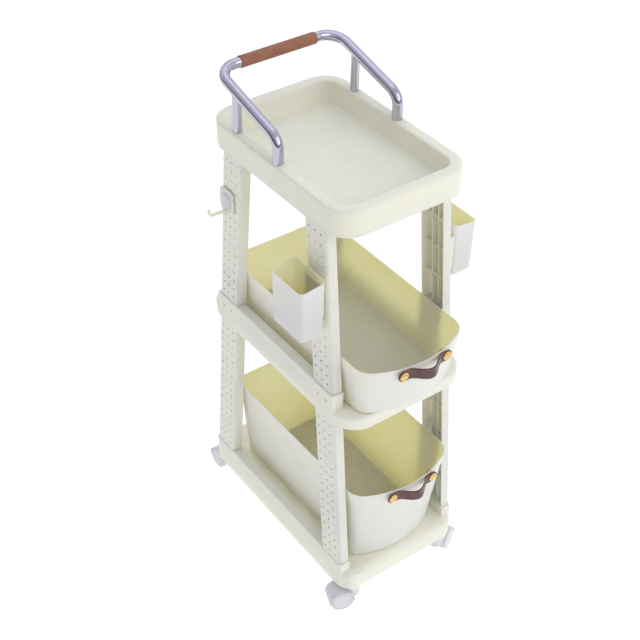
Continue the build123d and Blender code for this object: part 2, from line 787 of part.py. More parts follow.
def pegs(rows, columns, face_x, end):
    """Straight pegs that reach from a face into the post's holes."""
    shapes = []
    for z in rows:
        for column in columns:
            y = end * post_centre_y(z) + column * HOLE_PITCH_Y
            shapes.append(cylinder_x(face_x - PEG_LENGTH, face_x + 1, y, z, PEG_RADIUS))
    return shapes


def rim_wedge(rim_z):
    """What a cup's sloping rim cuts off: the rim is lower away from the post."""
    far_x = CUP_FACE_X + CUP_SIZE[0]
    corners = [
        (CUP_FACE_X, rim_z),
        (far_x, rim_z - CUP_SLANT),
        (far_x, rim_z + 1),
        (CUP_FACE_X, rim_z + 1),
    ]
    profile = Plane.XZ * make_face(Polyline(*corners, close=True))
    return extrude(profile, 2 * CUP_SIZE[1], both=True)


def make_cup(middle_y, rim_z, rows):
    """A tall open cup with a hanger and four pegs, made for the front right post."""
    width, length, height = CUP_SIZE
    centre = Pos(CUP_FACE_X + width / 2, -middle_y, rim_z)
    outline = RectangleRounded(width, length, CUP_CORNER)
    body = centre * extrude(outline, -height, taper=CUP_DRAFT)
    inner = RectangleRounded(width - 2 * CUP_WALL, length - 2 * CUP_WALL, CUP_CORNER - CUP_WALL)
    hollow = extrude(inner, -(height - CUP_WALL), taper=CUP_DRAFT)
    row_middle = sum(rows) / len(rows)
    thickness = HANGER[0] + HANGER_SINK
    hanger = Pos(HANGER_FACE_X + thickness / 2, -post_centre_y(row_middle), row_middle)
    body += hanger * Box(thickness, HANGER[1], HANGER[2])
    body += pegs(rows, (-1, 1), HANGER_FACE_X, -1)
    return body - centre * hollow - rim_wedge(rim_z)


def wall_plate(size, face_x, y, z, corner):
    """A rounded upright plate that stands off a face towards +X."""
    thickness, width, height = size
    plate = extrude(RectangleRounded(width, height, corner), thickness)
    return Pos(face_x, y, z) * Rot(0, 90, 0) * Rot(0, 0, 90) * plate


def make_hook():
    """A hook on a rounded plate with two pegs, made for the rear left post."""
    row_z = hole_rows(UPPER_FIRST_HOLE_Z, UPPER_HOLE_ROWS)[HOOK_ROW]
    y = post_centre_y(row_z) + HOLE_PITCH_Y / 2
    plate = wall_plate(HOOK_PLATE, HANGER_FACE_X, y, HOOK_PLATE_Z, HOOK_CORNER)
    plate += pegs([row_z], (0, 1), HANGER_FACE_X, 1)
    face = HANGER_FACE_X + HOOK_PLATE[0]
    pad = wall_plate(HOOK_PAD, face, y, HOOK_PAD_Z, HOOK_CORNER)
    path = FilletPolyline(
        (face + HOOK_PAD[0] - 1, y, HOOK_ROOT_Z),
        (HOOK_LOW[0], y, HOOK_LOW[1]),
        (HOOK_TIP[0], y, HOOK_TIP[1]),
        radius=HOOK_BEND,
    )
    arm = swept_rod(path, HOOK_WIRE)
    return mirror(plate, about=Plane.YZ), mirror(pad + arm, about=Plane.YZ)


def make_accessories():
    """The two cups and the hook."""
    rows = hole_rows(UPPER_FIRST_HOLE_Z, UPPER_HOLE_ROWS)
    left_rows = [rows[index] for index in LEFT_CUP_ROWS]
    right_rows = [rows[index] for index in RIGHT_CUP_ROWS]
    left_cup = make_cup(LEFT_CUP_Y, LEFT_CUP_RIM_Z, left_rows)
    save(mirror(left_cup, about=Plane.YZ), "left_cup")
    save(make_cup(RIGHT_CUP_Y, RIGHT_CUP_RIM_Z, right_rows), "right_cup")
    plate, hook = make_hook()
    save(plate, "hook_plate")
    save(hook, "hook")


# ---------------------------------------------------------------- casters


def caster_stem():
    """The pin that the hood turns on, with a flange under the collar."""
    stem = cylinder_z(0, 0, STEM_FOOT_Z, STEM_TOP_Z - 1, STEM_RADIUS - 0.02)
    return stem + cylinder_z(0, 0, FLANGE_Z, COLLAR_Z - 0.1, FLANGE_RADIUS)


def caster_hood():
    """The hood over both wheels, with a neck for the stem and a web for the axle."""
    hood = cylinder_y(CASTER_TRAIL, -HOOD_HALF, HOOD_HALF, WHEEL_RADIUS, HOOD_RADIUS)
    hood = fillet(hood.edges().filter_by(GeomType.CIRCLE), HOOD_ROUND)
    hood += cylinder_z(0, 0, NECK_FOOT_Z, HOOD_TOP_Z, NECK_RADIUS)
    for side in (-1, 1):
        low, high = sorted((side * HOOD_WEB, side * (HOOD_HALF + 1)))
        hood -= cylinder_y(CASTER_TRAIL, low, high, WHEEL_RADIUS, WHEEL_RADIUS + HOOD_GAP)
    far = 4 * HOOD_RADIUS
    hood -= slab(-far, far, -far, far, -far, HOOD_CUT_Z)
    hood -= cylinder_z(0, 0, 0, HOOD_TOP_Z + 1, STEM_RADIUS + RUNNING_GAP)
    hood -= cylinder_y(CASTER_TRAIL, -HOOD_HALF, HOOD_HALF, WHEEL_RADIUS, AXLE_RADIUS)
    return hood.solids().sort_by(SortBy.VOLUME)[-1]


def caster_axle():
    """The pin that carries both wheels."""
    return cylinder_y(CASTER_TRAIL, -AXLE_HALF, AXLE_HALF, WHEEL_RADIUS, AXLE_RADIUS - 0.01)


def caster_wheel(side):
    """One wheel with a closed outer disc and a blind bore."""
    start = side * WHEEL_INNER
    end = side * (WHEEL_INNER + WHEEL_WIDTH)
    low, high = sorted((start, end))
    wheel = cylinder_y(CASTER_TRAIL, low, high, WHEEL_RADIUS, WHEEL_RADIUS)
    wheel = fillet(wheel.edges().filter_by(GeomType.CIRCLE), WHEEL_ROUND)
    low, high = sorted((start - side, side * (AXLE_HALF + 0.3)))
    wheel -= cylinder_y(CASTER_TRAIL, low, high, WHEEL_RADIUS, AXLE_RADIUS + RUNNING_GAP)
    ring_outer, ring_inner, ring_depth = WHEEL_RING
    low, high = sorted((end - side * ring_depth, end + side))
    ring = cylinder_y(CASTER_TRAIL, low, high, WHEEL_RADIUS, ring_outer)
    ring -= cylinder_y(CASTER_TRAIL, low - 1, high + 1, WHEEL_RADIUS, ring_inner)
    return wheel - ring


def make_casters():
    """Four casters, each turned as it stands at rest."""
    pieces = {
        "stem": caster_stem(),
        "hood": caster_hood(),
        "axle": caster_axle(),
        "wheel_left": caster_wheel(1),
        "wheel_right": caster_wheel(-1),
    }
    for corner, (side, end) in CORNERS.items():
        place = Pos(side * CASTER_X, end * CASTER_Y, 0) * Rot(0, 0, CASTER_TURNS[corner])
        for name, piece in pieces.items():
            save(place * piece, f"caster_{corner}_{name}")


def main():
    os.makedirs("parts", exist_ok=True)
    make_posts()
    save(make_base_shelf(), "base_shelf")
    save(make_middle_shelf(), "middle_shelf")
    save(make_top_tray(), "top_tray")
    make_handle()
    make_bins()
    make_accessories()
    make_casters()


main()
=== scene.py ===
"""Rolling pantry cart: the finished look of its parts, its stage and its camera."""

import json
import math

import bmesh
import bpy
from mathutils import Matrix, Vector


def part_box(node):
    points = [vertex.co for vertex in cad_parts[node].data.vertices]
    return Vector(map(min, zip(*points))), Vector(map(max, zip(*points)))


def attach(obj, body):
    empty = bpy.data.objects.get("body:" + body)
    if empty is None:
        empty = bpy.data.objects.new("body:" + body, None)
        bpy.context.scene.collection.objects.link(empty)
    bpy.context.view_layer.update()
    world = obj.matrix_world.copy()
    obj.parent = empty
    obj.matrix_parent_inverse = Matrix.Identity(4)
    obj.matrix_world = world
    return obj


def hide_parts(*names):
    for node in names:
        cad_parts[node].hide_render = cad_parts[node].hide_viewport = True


bl_info = {
    "name": "Rolling pantry cart",
    "version": (1, 0, 0),
    "blender": (4, 5, 0),
    "location": "3D View > Sidebar > Cart",
    "description": "Moulded tray, pull-out bins, leather pulls, hang-on cups and stage of a slim cart",
    "category": "Object",
}

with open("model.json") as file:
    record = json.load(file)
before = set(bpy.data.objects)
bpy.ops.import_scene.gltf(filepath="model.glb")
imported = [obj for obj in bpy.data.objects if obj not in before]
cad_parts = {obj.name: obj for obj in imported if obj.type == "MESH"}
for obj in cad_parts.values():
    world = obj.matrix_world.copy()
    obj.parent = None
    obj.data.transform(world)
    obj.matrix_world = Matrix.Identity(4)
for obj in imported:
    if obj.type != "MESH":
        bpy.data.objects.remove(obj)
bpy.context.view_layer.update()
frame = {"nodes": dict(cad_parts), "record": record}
MM = 0.001
SIDES = (-1, 1)
BIN_NAMES = ("upper", "lower")

# The posts' outer faces and how far they lean for every metre of height
POST_FOOT_Y = 188.4 * MM
POST_LEAN_Y = 0.089
HOLE_PITCH_Y = 15.5 * MM
HOLE_PITCH_Z = 19 * MM

# Accessories: where their hangers stand on the posts
HANGER_FACE_X = 128.1 * MM
CUP_FACE_X = 134 * MM
CUP_LENGTH = 85 * MM
CUP_DRAFT = math.tan(math.radians(1.6))
CUP_PLANS = {"left": (-1, -119 * MM, 694 * MM), "right": (1, -108 * MM, 675 * MM)}
HANGER_HALF = (21 * MM, 31 * MM)
HOOK_PEG_Z = 732 * MM
HOOK_PLATE = 2.6 * MM
HOOK_PAD_FOOT_Z = 705.5 * MM
HOOK_CORNER = 9 * MM

BIN_DRAFT = math.tan(math.radians(4.4))
BIN_BAND_OUT = 1.2 * MM
RIVET_HEAD = 3.2 * MM

# Camera: place in metres, angles in degrees, lens and sensor in millimetres
CAMERA_PLACE = (-1.0292, -1.3672, 1.8970)
CAMERA_YAW, CAMERA_PITCH, CAMERA_ROLL = 35.98, 39.49, 0.39
CAMERA_LENS = 69.85
CAMERA_SHIFT = (0.0055, 0.0045)


def linear(hex_colour):
    """An sRGB hex value as a linear colour."""
    channels = [int(hex_colour[i : i + 2], 16) / 255 for i in (0, 2, 4)]
    return [c / 12.92 if c <= 0.04045 else ((c + 0.055) / 1.055) ** 2.4 for c in channels]


def length(name, description, millimetres):
    """A size property in metres from a value in millimetres."""
    return bpy.props.FloatProperty(
        name=name, description=description, default=millimetres * MM, min=0, unit="LENGTH"
    )


def colour(name, description, hex_colour):
    """A colour property from an sRGB hex value."""
    return bpy.props.FloatVectorProperty(
        name=name, description=description, default=linear(hex_colour), subtype="COLOR", min=0, max=1
    )


class CartSizes(bpy.types.PropertyGroup):
    """Sizes of the cart's visible pieces."""

    tray_corner: length("Tray corner", "Plan radius of the top tray's corners", 46)
    tray_rim: length("Tray rim", "Width of the top tray's rim", 21)
    tray_draft: length("Tray slope", "How far the tray's inner wall slopes in", 8)
    tray_depth: length("Tray depth", "From the rim down to the tray's floor", 40)
    groove_pitch: length("Groove pitch", "Distance between the tray floor's grooves", 12)
    groove_width: length("Groove width", "Width of one groove", 3)
    groove_depth: length("Groove depth", "Depth of one groove", 0.6)
    step: length("Skirt step", "Depth of the thin step above a skirt's lower edge", 0.8)
    bin_corner: length("Bin front corner", "Plan radius of a bin's front corners", 35)
    bin_back_corner: length("Bin back corner", "Plan radius of a bin's back corners", 22)
    bin_bow: length("Bin bow", "Plan radius of a bin's bowed front", 185)
    bin_tilt: length("Bin front tilt", "How far a bin's front leans in over 100 mm of height", 7.5)
    bin_wall: length("Bin wall", "Thickness of a bin's wall", 2.2)
    bin_band: length("Bin band", "Height of the band below a bin's rim", 26)
    strap_width: length("Pull width", "Width of a leather pull", 20)
    strap_thickness: length("Pull thickness", "Thickness of a leather pull", 2.8)
    rivet_radius: length("Rivet radius", "Radius of a rivet's head", 8.5)
    cup_corner: length("Cup corner", "Plan radius of a cup's corners", 10)
    cup_wall: length("Cup wall", "Thickness of a cup's wall", 1.8)
    cup_slant: length("Cup slant", "How much lower a cup's rim is away from the post", 6)
    hook_wire: length("Hook radius", "Radius of the hook's arm", 3)


class CartColours(bpy.types.PropertyGroup):
    """Colours of the cart's finishes."""

    cream: colour("Cream plastic", "Shelves, posts and tray", "F1F0DD")
    bins: colour("Bin plastic", "Both bins", "F1F0DE")
    cups: colour("Cup plastic", "Cups and hook", "F1F0DF")
    # Painted warm light: the inner walls and floors of bins and cups get this yellower copy of the
    # plastic colour, standing in for warm light bounced round inside them and passed through their
    # walls
    inside: colour("Inside with painted warm light", "Inner walls, lit through the plastic", "F8F0C3")
    caster: colour("Caster plastic", "Hoods and wheels", "E3E0E3")
    chrome: colour("Chrome", "Push bar", "BDBCC8")
    tan: colour("Tan leather", "Grip of the push bar", "A2684A")
    brown: colour("Brown leather", "Pulls of the bins", "6A4544")
    brass: colour("Brass", "Rivets", "E6C27C")
    steel: colour("Steel", "Screws, stems and axles", "A9A9AC")
    floor: colour("Floor", "Studio floor", "B0B0B0")


# ------------------------------------------------------------------ helpers


def new_piece(name, bm, body, slot, *nodes, smooth=40):
    """Turn a bmesh into a piece that rides on a body and stands for CAD nodes."""
    mesh = bpy.data.meshes.new(name)
    bm.to_mesh(mesh)
    bm.free()
    piece = bpy.data.objects.new(name, mesh)
    bpy.context.scene.collection.objects.link(piece)
    mesh.shade_smooth()
    mesh.set_sharp_from_angle(angle=math.radians(smooth))
    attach(piece, body)
    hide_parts(*nodes)
    return piece


def closed(bm):
    """Merge doubles and point the faces of a closed shape outwards."""
    bmesh.ops.remove_doubles(bm, verts=bm.verts, dist=0.02 * MM)
    bmesh.ops.recalc_face_normals(bm, faces=bm.faces)


def rounded_loop(bm, centre, size, corner, height, segments=10):
    """A closed loop of edges: a rectangle with round corners at a height."""
    before = set(bm.edges)
    place = Matrix.Translation((centre[0], centre[1], height))
    place = place @ Matrix.Diagonal((size[0] / 2, size[1] / 2, 1, 1))
    grid = bmesh.ops.create_grid(bm, x_segments=1, y_segments=1, size=1, matrix=place)
    bmesh.ops.bevel(
        bm,
        geom=grid["verts"],
        offset=corner,
        offset_type="OFFSET",
        segments=segments,
        profile=0.5,
        affect="VERTICES",
        material=-1,
    )
    loop = [edge for edge in bm.edges if edge not in before]
    faces = {face for edge in loop for face in edge.link_faces}
    bmesh.ops.delete(bm, geom=list(faces), context="FACES_ONLY")
    return loop


def loft(bm, make_loop, profile, inside_from=None):
    """Walls through a stack of loops; from one loop on they carry the inside's finish, the plastic
    painted warmer as painted bounced light.
    """
    loops = [make_loop(inset, height) for inset, height in profile]
    for index, (low, high) in enumerate(zip(loops, loops[1:])):
        faces = bmesh.ops.bridge_loops(bm, edges=low + high)["faces"]
        if inside_from is not None and index >= inside_from:
            for face in faces:
                face.material_index = 1
    return loops


def shell(bm, make_loop, profile):
    """A closed shell: the profile's highest point parts the outside from the inside."""
    top = max(range(len(profile)), key=lambda index: profile[index][1])
    loops = loft(bm, make_loop, profile, inside_from=top)
    cap(bm, loops[0])
    # The inner floor also gets the inside finish with its painted warm light
    for face in cap(bm, loops[-1]):
        face.material_index = 1
    closed(bm)


def cap(bm, loop):
    """Close a loop with one face."""
    return bmesh.ops.contextual_create(bm, geom=loop)["faces"]


def arc(inset, height, radius, start, finish, steps=5):
    """Points of a round in a profile, in degrees from the inward direction."""
    points = []
    for index in range(steps + 1):
        angle = math.radians(start + (finish - start) * index / steps)
        points.append((inset + radius * math.cos(angle), height + radius * math.sin(angle)))
    return points


def lathe(bm, points, centre, axis, start, steps=40):
    """Spin a profile of (along, out) points round an axis through a centre."""
    axis = Vector(axis)
    out = Vector(start)
    verts = [bm.verts.new(Vector(centre) + axis * along + out * radius) for along, radius in points]
    edges = [bm.edges.new(pair) for pair in zip(verts, verts[1:])]
    bmesh.ops.spin(
        bm,
        geom=verts + edges,
        cent=centre,
        axis=axis,
        angle=math.tau,
        steps=steps,
        use_merge=True,
        use_duplicate=False,
    )


# ---------------------------------------------------------------- materials


def node(tree, kind, settings=None, inputs=None):
    """Add a node, then set its settings and its sockets; a socket as a value is linked."""
    made = tree.nodes.new(kind)
    for name, value in (settings or {}).items():
        setattr(made, name, value)
    for name, value in (inputs or {}).items():
        if isinstance(value, bpy.types.NodeSocket):
            tree.links.new(value, made.inputs[name])
        else:
            made.inputs[name].default_value = value
    return made


def fresh_material(name):
    """An empty node material and its object coordinates."""
    material = bpy.data.materials.new(name)
    material.use_nodes = True
    tree = material.node_tree
    tree.nodes.clear()
    where = node(tree, "ShaderNodeTexCoord").outputs["Object"]
    return material, tree, where


def finish_material(tree, inputs):
    """The shader and its output."""
    shader = node(tree, "ShaderNodeBsdfPrincipled", inputs=inputs)
    node(tree, "ShaderNodeOutputMaterial", inputs={"Surface": shader.outputs["BSDF"]})


def noise(tree, where, size_mm, detail=2.0, rough=0.5):
    """Noise whose blotches are a size in millimetres."""
    inputs = {"Vector": where, "Scale": 1 / (size_mm * MM), "Detail": detail, "Roughness": rough}
    return node(tree, "ShaderNodeTexNoise", inputs=inputs).outputs["Fac"]


def remap(tree, value, low, high, span=(0.3, 0.7)):
    """Stretch a pattern's middle range to a new range."""
    inputs = {
        "Value": value, "From Min": span[0], "From Max": span[1], "To Min": low, "To Max": high
    }
    return node(tree, "ShaderNodeMapRange", inputs=inputs).outputs["Result"]


def tinted(tree, base, other, share):
    """A colour that goes from the base to another by a pattern's share."""
    inputs = {"Factor": share, "A": (*base, 1), "B": (*other, 1)}
    mixed = node(tree, "ShaderNodeMix", {"data_type": "RGBA"})
    for name, value in inputs.items():
        socket = [s for s in mixed.inputs if s.name == name and s.enabled][0]
        if isinstance(value, bpy.types.NodeSocket):
            tree.links.new(value, socket)
        else:
            socket.default_value = value
    return [s for s in mixed.outputs if s.enabled][0]


def bump(tree, height, strength, distance_mm):
    """A bump of a depth in millimetres."""
    inputs = {"Height": height, "Strength": strength, "Distance": distance_mm * MM}
    return node(tree, "ShaderNodeBump", inputs=inputs).outputs["Normal"]


def moulded_plastic(name, base, gloss, grain_mm=1.2, glow=0.0):
    """Injection-moulded polypropylene: satin, fine spark-eroded grain, light bleeding through warm."""
    material, tree, where = fresh_material(name)
    flow = noise(tree, where, 70, detail=3)
    grain = noise(tree, where, grain_mm, detail=2)
    shade = [channel * 0.965 for channel in base]
    inputs = {
        "Base Color": tinted(tree, base, shade, remap(tree, flow, 0, 1)),
        "Roughness": remap(tree, grain, gloss - 0.04, gloss + 0.05),
        "IOR": 1.49,
        "Subsurface Weight": glow,
        "Subsurface Radius": (1.0, 0.93, 0.5),
        "Subsurface Scale": 14 * MM,
        "Normal": bump(tree, grain, 0.12, 0.05),
    }
    finish_material(tree, inputs)
    return material


def chrome_plate(name, base):
    """Chrome plating over polished steel tube: a mirror with the faintest polishing haze."""
    material, tree, where = fresh_material(name)
    haze = noise(tree, where, 9, detail=3)
    inputs = {
        "Base Color": (*base, 1),
        "Metallic": 1.0,
        "Roughness": remap(tree, haze, 0.05, 0.12),
    }
    finish_material(tree, inputs)
    return material


def tanned_leather(name, base, edge, pore_mm, gloss):
    """Finished cowhide: fine pores, cloudy dye and a soft wax shine."""
    material, tree, where = fresh_material(name)
    cells = node(
        tree,
        "ShaderNodeTexVoronoi",
        {"feature": "DISTANCE_TO_EDGE"},
        {"Vector": where, "Scale": 1 / (pore_mm * MM)},
    ).outputs["Distance"]
    cloud = noise(tree, where, 14, detail=4)
    pores = remap(tree, cells, 0, 1, span=(0, 0.25))
    inputs = {
        "Base Color": tinted(tree, base, edge, remap(tree, cloud, 0, 0.8, span=(0.4, 0.75))),
        "Roughness": remap(tree, cloud, gloss - 0.06, gloss + 0.08),
        "IOR": 1.5,
        "Sheen Weight": 0.08,
        "Normal": bump(tree, pores, 0.35, 0.12),
    }
    finish_material(tree, inputs)
    return material


def cast_metal(name, base, gloss, grain_mm):
    """Turned and tumbled metal: bright, with fine scuffs that spread its highlights."""
    material, tree, where = fresh_material(name)
    scuffs = noise(tree, where, grain_mm, detail=4, rough=0.6)
    inputs = {
        "Base Color": (*base, 1),
        "Metallic": 1.0,
        "Roughness": remap(tree, scuffs, gloss - 0.06, gloss + 0.1),
        "Normal": bump(tree, scuffs, 0.1, 0.03),
    }
    finish_material(tree, inputs)
    return material


def cart_materials(colours):
    """Every finish of the cart by its slot, made once."""
    made = bpy.context.scene.get("cart_materials")
    if made:
        return {slot: bpy.data.materials[name] for slot, name in made.items()}
    dark_brown = [channel * 0.45 for channel in colours.brown]
    dark_tan = [channel * 0.7 for channel in colours.tan]
    materials = {
        "cream_plastic": moulded_plastic("moulded_polypropylene_cream", colours.cream, 0.42, glow=0.4),
        "bin_plastic": moulded_plastic("moulded_polypropylene_bin", colours.bins, 0.45, glow=0.8),
        "cup_plastic": moulded_plastic("moulded_polypropylene_cup", colours.cups, 0.38, glow=0.7),
        # The inside finish is the same plastic painted yellower: painted warm bounced light on the
        # inner walls
        "inside": moulded_plastic("moulded_polypropylene_painted_warm_inside", colours.inside, 0.45, glow=0.8),
        "caster_plastic": moulded_plastic("moulded_nylon_caster", colours.caster, 0.32, 0.9),
        "chrome": chrome_plate("chrome_plated_steel", colours.chrome),
        "tan_leather": tanned_leather("tan_cowhide", colours.tan, dark_tan, 1.3, 0.5),
        "brown_leather": tanned_leather("brown_cowhide", colours.brown, dark_brown, 1.1, 0.42),
        "brass": cast_metal("polished_brass", colours.brass, 0.24, 2.0),
        "steel": cast_metal("zinc_plated_steel", colours.steel, 0.38, 1.5),
    }
    bpy.context.scene["cart_materials"] = {slot: m.name for slot, m in materials.items()}
    return materials


def dress(piece, slot, colours, *more):
    """Give a piece the finish of its slot, and further finishes for marked faces."""
    finishes = [cart_materials(colours)[name] for name in (slot, *more)]
    for index, finish in enumerate(finishes):
        if index < len(piece.data.materials):
            piece.data.materials[index] = finish
        else:
            piece.data.materials.append(finish)


# ----------------------------------------------------------------- top tray


def tray_profile(sizes, low, high):
    """Section of the tray from under its skirt, over the rim and down to its floor."""
    rim = high
    floor = rim - sizes.tray_depth
    step = sizes.step
    outer_round = 5 * MM
    inner_round = 4.5 * MM
    floor_round = 7 * MM
    lip = sizes.tray_rim - inner_round * 0.8
    foot = sizes.tray_rim + sizes.tray_draft + 1.5 * MM
    wall = [
        (3.6 * MM, low + 1.2 * MM),
        (3.6 * MM, low + 0.5 * MM),
        (3.1 * MM, low),
        (step + 0.4 * MM, low),
        (step, low + 0.4 * MM),
        (step, low + 5.8 * MM),
        (0.15 * MM, low + 6.2 * MM),
        (0.0, low + 6.8 * MM),
        (0.0, rim - 2 * outer_round),
    ]
    wall += arc(outer_round, rim - outer_round, outer_round, 180, 90, 7)
    wall += arc(lip, rim - inner_round, inner_round, 90, 12, 6)
    wall += arc(foot + floor_round * 0.1, floor + floor_round, floor_round, 192, 270, 6)
    return wall


def groove_floor(bm, loop, sizes, height, half_x, half_y):
    """Close the tray's floor and press straight grooves into it."""
    faces = cap(bm, loop)
    count = int(2 * half_y / sizes.groove_pitch) + 1
    first = -(count - 1) / 2 * sizes.groove_pitch
    cuts = []
    for index in range(count):
        low = first + index * sizes.groove_pitch
        cuts += [((0, low, height), (0, 1, 0)), ((0, low + sizes.groove_width, height), (0, 1, 0))]
    cuts += [((side * half_x, 0, height), (1, 0, 0)) for side in SIDES]
    region = list(faces)
    for place, direction in cuts:
        parts = {edge for face in region for edge in face.edges}
        parts |= {vert for face in region for vert in face.verts}
        geom = region + list(parts)
        done = bmesh.ops.bisect_plane(bm, geom=geom, plane_co=place, plane_no=direction, dist=1e-6)
        region = [item for item in done["geom"] if isinstance(item, bmesh.types.BMFace)]
    grooves = []
    for face in region:
        middle = face.calc_center_median()
        along = (middle.y - first) % sizes.groove_pitch
        inside = abs(middle.x) < half_x and first < middle.y < first + count * sizes.groove_pitch
        if inside and along < sizes.groove_width:
            grooves.append(face)
    bmesh.ops.inset_individual(
        bm, faces=grooves, thickness=sizes.groove_depth, depth=-sizes.groove_depth, use_even_offset=True
    )


class CART_OT_top_tray(bpy.types.Operator):
    """Build the top tray with its soft rim and grooved floor"""

    bl_idname = "cart.top_tray"
    bl_label = "Top tray"

    def execute(self, context):
        sizes = context.scene.cart_sizes
        low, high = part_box("top_tray")
        full = (high.x - low.x, high.y - low.y)
        bm = bmesh.new()

        def loop(inset, height):
            size = (full[0] - 2 * inset, full[1] - 2 * inset)
            return rounded_loop(bm, (0, 0), size, max(sizes.tray_corner - inset, 4 * MM), height, 14)

        loops = loft(bm, loop, tray_profile(sizes, low.z, high.z))
        cap(bm, loops[0])
        closed(bm)
        floor_half = sizes.tray_rim + sizes.tray_draft + 12 * MM
        groove_floor(
            bm, loops[-1], sizes, high.z - sizes.tray_depth, full[0] / 2 - floor_half + 6 * MM,
            full[1] / 2 - floor_half,
        )
        bmesh.ops.recalc_face_normals(bm, faces=bm.faces)
        tray = new_piece("tray_moulding", bm, "frame", "cream_plastic", "top_tray", smooth=35)
        dress(tray, "cream_plastic", context.scene.cart_colours)
        return {"FINISHED"}


# --------------------------------------------------------------------- bins


def bin_loop(bm, sizes, box, inset, height):
    """A closed loop of edges round a bin: bowed front that leans in, straight sides and back."""
    low, high = box
    half = high.x - inset
    back = high.y - inset
    bow = sizes.bin_bow - inset
    lean_in = (high.z - height) * sizes.bin_tilt / (100 * MM)
    centre_y = low.y + sizes.bin_bow + lean_in
    corner = sizes.bin_corner - inset
    rear = max(sizes.bin_back_corner - inset, 2 * MM)
    corner_x = half - corner
    corner_y = centre_y - math.sqrt((bow - corner) ** 2 - corner_x**2)
    lean = math.atan2(corner_x, centre_y - corner_y)
    before = set(bm.verts)
    start = bm.verts.new((0, centre_y - bow, height))
    turns = [
        ((0, centre_y, height), lean, 10),
        ((corner_x, corner_y, height), math.pi / 2 - lean, 12),
        None,
        ((half - rear, back - rear, height), math.pi / 2, 8),
        None,
    ]
    ends = [None, None, (half, back - rear, height), None, (0, back, height)]
    last = start
    for turn, end in zip(turns, ends):
        if turn is None:
            fresh = bmesh.ops.extrude_vert_indiv(bm, verts=[last])["verts"][0]
            fresh.co = end
            last = fresh
            continue
        cent, angle, steps = turn
        spun = bmesh.ops.spin(
            bm, geom=[last], cent=cent, axis=(0, 0, 1), angle=angle, steps=steps, use_duplicate=False
        )
        last = [item for item in spun["geom_last"] if isinstance(item, bmesh.types.BMVert)][0]
    verts = [v for v in bm.verts if v not in before]
    edges = list({e for v in verts for e in v.link_edges})
    bmesh.ops.mirror(bm, geom=verts + edges, axis="X", merge_dist=0.01 * MM)
    verts = [v for v in bm.verts if v not in before]
    return list({e for v in verts for e in v.link_edges})


def bin_profile(sizes, bottom, rim):
    """Section of a bin: floor underside, wall, band, rolled rim, inner wall and floor."""
    slope = BIN_DRAFT
    wall = sizes.bin_wall
    band_low = rim - sizes.bin_band
    step = BIN_BAND_OUT
    body_low = step + (rim - bottom) * slope
    foot = 5 * MM
    points = arc(body_low + foot, bottom + foot, foot, 270, 184.4, 5)
    points += [
        (step + sizes.bin_band * slope + 0.1 * MM, band_low - 1.0 * MM),
        (step + sizes.bin_band * slope - 0.1 * MM, band_low - 0.4 * MM),
        (sizes.bin_band * slope + 0.3 * MM, band_low),
        (sizes.bin_band * slope, band_low + 0.4 * MM),
    ]
    lip = wall / 2
    points += arc(lip, rim - lip, lip, 180, 0, 8)
    floor = bottom + wall
    inner = foot - wall * 0.6
    inner_low = step + wall + (rim - floor) * slope
    points += [(wall + sizes.bin_band * slope, band_low + wall)]
    points += [(wall + step * 0.9 + sizes.bin_band * slope, band_low)]
    points += arc(inner_low + inner, floor + inner, inner, 184.4, 270, 5)
    return points


class CART_OT_bins(bpy.types.Operator):
    """Build both pull-out bins with their band and rolled rim"""

    bl_idname = "cart.bins"
    bl_label = "Bins"

    def execute(self, context):
        sizes = context.scene.cart_sizes
        for name in BIN_NAMES:
            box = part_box(f"{name}_bin")
            bm = bmesh.new()
            shell(
                bm,
                lambda inset, height: bin_loop(bm, sizes, box, inset, height),
                bin_profile(sizes, box[0].z, box[1].z),
            )
            piece = new_piece(
                f"{name}_bin_moulding", bm, f"{name}_bin_set", "bin_plastic", f"{name}_bin"
            )
            # Inner faces take the inside finish: the bin plastic painted warmer as painted bounced
            # light
            dress(piece, "bin_plastic", context.scene.cart_colours, "inside")
        return {"FINISHED"}


# -------------------------------------------------------------------- pulls


